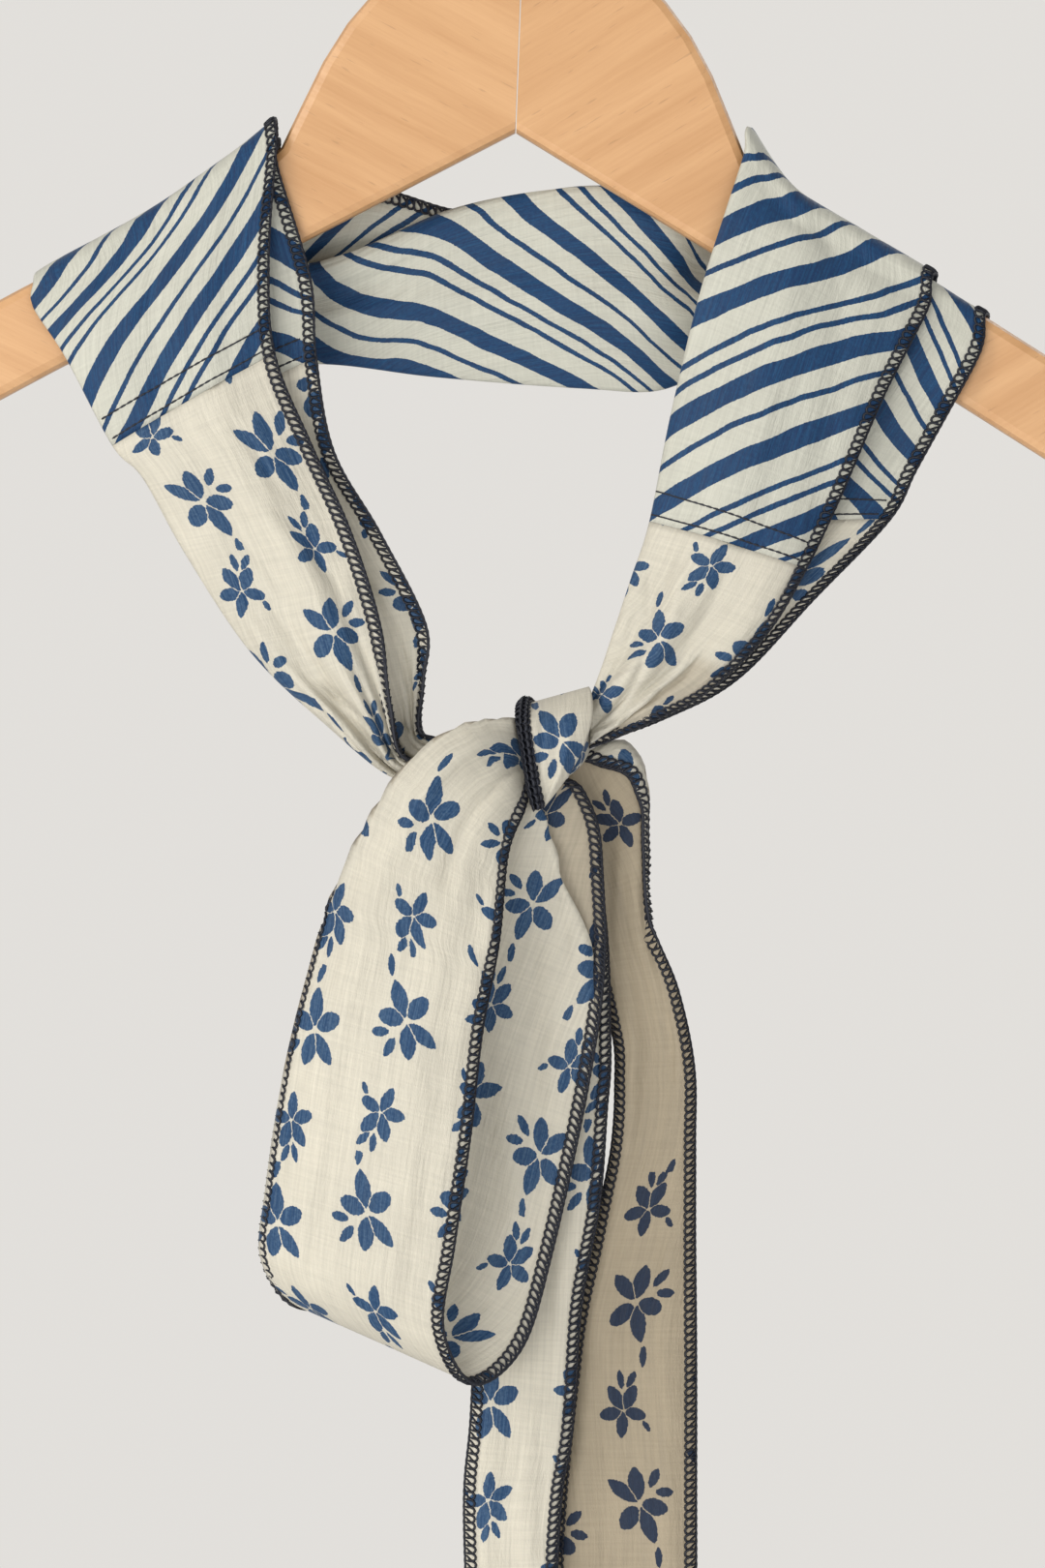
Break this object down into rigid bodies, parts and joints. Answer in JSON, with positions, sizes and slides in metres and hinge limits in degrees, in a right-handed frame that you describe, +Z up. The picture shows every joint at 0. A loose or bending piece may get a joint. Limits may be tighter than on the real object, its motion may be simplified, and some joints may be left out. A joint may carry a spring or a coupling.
{
  "type": "skinny scarf on a hanger",
  "caption": "Long narrow printed scarf folded round the neck of a wooden coat hanger and tied in a half bow with one loop and two hanging tails.",
  "frame": {"origin": "inner top of the hanger's hook, where a rail carries it", "axes": "+Z up; -Y towards the viewer, on the side of the knot and the loop; +X to that viewer's right, along the hanger"},
  "size_m": [0.4436, 0.0953, 0.6583],
  "materials": {
    "wood": "satin",
    "steel": "satin",
    "striped_cloth": "matte",
    "floral_cloth": "matte",
    "overlock_thread": "matte"
  },
  "bodies": {
    "root": {"left_front_floral": "floral_cloth", "left_shoulder_striped": "striped_cloth", "back_neck_striped": "striped_cloth", "right_shoulder_striped": "striped_cloth", "right_front_floral": "floral_cloth", "knot_core": "floral_cloth", "knot_wrap": "floral_cloth", "bow_loop": "floral_cloth", "tail_left": "floral_cloth", "tail_right": "floral_cloth", "hanger_left_half": "wood", "hanger_right_half": "wood", "hook": "steel"}
  },
  "joints": []
}
